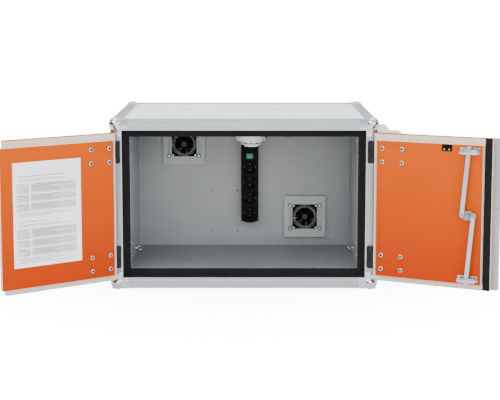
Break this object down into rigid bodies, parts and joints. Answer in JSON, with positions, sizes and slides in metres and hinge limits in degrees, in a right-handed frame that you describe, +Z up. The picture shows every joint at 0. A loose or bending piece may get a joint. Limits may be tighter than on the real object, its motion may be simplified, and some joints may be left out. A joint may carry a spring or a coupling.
{
  "type": "battery cabinet",
  "caption": "Battery charging cabinet in flight-case style with two open doors, fans, a socket strip and a rod lock.",
  "frame": {"origin": "middle of the cabinet's footprint on the floor, which is the stand mount", "axes": "+Z up, the doors face -Y, +X to the right seen from the front; the open doors make X the longest extent and Z is the shortest"},
  "size_m": [1.4034, 0.8754, 0.52],
  "materials": {
    "aluminium_profile": "satin",
    "steel_corner": "zinc plated",
    "panel_core": "plain",
    "grey_lining": "grey faced board",
    "orange_board": "orange faced board",
    "seal_rubber": "matt",
    "zinc_steel": "zinc plated",
    "black_steel": "satin black",
    "black_plastic": "matt",
    "fan_plastic": "satin",
    "grey_plate": "grey faced board",
    "white_plastic": "satin",
    "green_plastic": "translucent",
    "box_plastic": "fine texture",
    "sheet_paper": "matt",
    "light_edge": "anodised"
  },
  "bodies": {
    "cabinet": {"core_left": "panel_core", "core_right": "panel_core", "core_bottom": "panel_core", "core_top": "panel_core", "core_rear": "panel_core", "lining_left": "grey_lining", "lining_right": "grey_lining", "floor_board": "grey_lining", "lining_top": "grey_lining", "back_wall": "grey_lining", "front_profile_top": "aluminium_profile", "front_profile_bottom": "aluminium_profile", "front_profile_left": "aluminium_profile", "front_profile_right": "aluminium_profile", "rear_profiles": "aluminium_profile", "depth_profiles": "aluminium_profile", "ball_corners": "steel_corner", "frame_seal": "seal_rubber", "seal_carrier": "panel_core", "lining_trim": "light_edge", "hinge_frame_leaves": "black_steel", "frame_bolts": "zinc_steel", "lock_keepers": "zinc_steel", "reed_switch": "black_plastic", "upper_vent_plate": "grey_plate", "upper_fan_frame": "fan_plastic", "lower_vent_plate": "grey_plate", "lower_fan_frame": "fan_plastic", "fan_guards": "zinc_steel", "vent_nuts": "zinc_steel", "power_strip": "black_plastic", "socket_inserts": "black_plastic", "smoke_detector": "white_plastic", "status_module": "green_plastic", "lashing_eyes": "zinc_steel", "side_boxes": "box_plastic", "side_box_lids": "box_plastic", "rear_outlets": "black_plastic", "cable_gland": "black_plastic"},
    "left_door": {"left_door_outer": "orange_board", "left_door_inner": "orange_board", "instruction_sheet": "sheet_paper", "left_hinge_leaves": "black_steel", "left_door_bolts": "zinc_steel"},
    "right_door": {"right_door_outer": "orange_board", "right_door_inner": "orange_board", "right_astragal": "aluminium_profile", "meeting_seal": "seal_rubber", "magnet_plate": "black_plastic", "right_hinge_leaves": "black_steel", "right_door_bolts": "zinc_steel", "handle_rose": "black_plastic", "rod_guides": "zinc_steel"},
    "lock": {"lock_cam": "zinc_steel", "lock_handle": "black_plastic"},
    "upper_rod": {"upper_rod": "zinc_steel"},
    "lower_rod": {"lower_rod": "zinc_steel"},
    "upper_fan": {"upper_fan_rotor": "fan_plastic"},
    "lower_fan": {"lower_fan_rotor": "fan_plastic"},
    "rocker": {"strip_rocker": "green_plastic"}
  },
  "joints": [
    {"name": "left_door_hinge", "type": "hinge", "parent": "cabinet", "child": "left_door", "pos_m": [-0.3724, -0.3005, 0.26], "axis": [0, 0, 1], "range_deg": [-30, 145]},
    {"name": "right_door_hinge", "type": "hinge", "parent": "cabinet", "child": "right_door", "pos_m": [0.3724, -0.3005, 0.26], "axis": [0, 0, 1], "range_deg": [-155, 20]},
    {"name": "lock_turn", "type": "hinge", "parent": "right_door", "child": "lock", "pos_m": [0.63028, -0.48574, 0.26], "axis": [0.4226, 0.9063, 0], "range_deg": [0, 90]},
    {"name": "upper_rod_pivot", "type": "hinge", "parent": "lock", "child": "upper_rod", "pos_m": [0.61523, -0.47872, 0.26], "axis": [0.4226, 0.9063, 0], "range_deg": [-96, 0]},
    {"name": "lower_rod_pivot", "type": "hinge", "parent": "lock", "child": "lower_rod", "pos_m": [0.64532, -0.49275, 0.26], "axis": [0.4226, 0.9063, 0], "range_deg": [-96, 0]},
    {"name": "upper_fan_spin", "type": "hinge", "parent": "cabinet", "child": "upper_fan", "pos_m": [-0.196, 0.1, 0.395], "axis": [0, 1, 0], "continuous": true},
    {"name": "lower_fan_spin", "type": "hinge", "parent": "cabinet", "child": "lower_fan", "pos_m": [0.198, 0.1, 0.1555], "axis": [0, 1, 0], "continuous": true},
    {"name": "rocker_tilt", "type": "hinge", "parent": "cabinet", "child": "rocker", "pos_m": [0.0176, 0.0585, 0.36], "axis": [1, 0, 0], "range_deg": [-14, 0]}
  ],
  "couplings": [
    {"joint": "upper_rod_pivot", "follows": "lock_turn", "ratio": -1.0574},
    {"joint": "lower_rod_pivot", "follows": "lock_turn", "ratio": -1.0574}
  ]
}
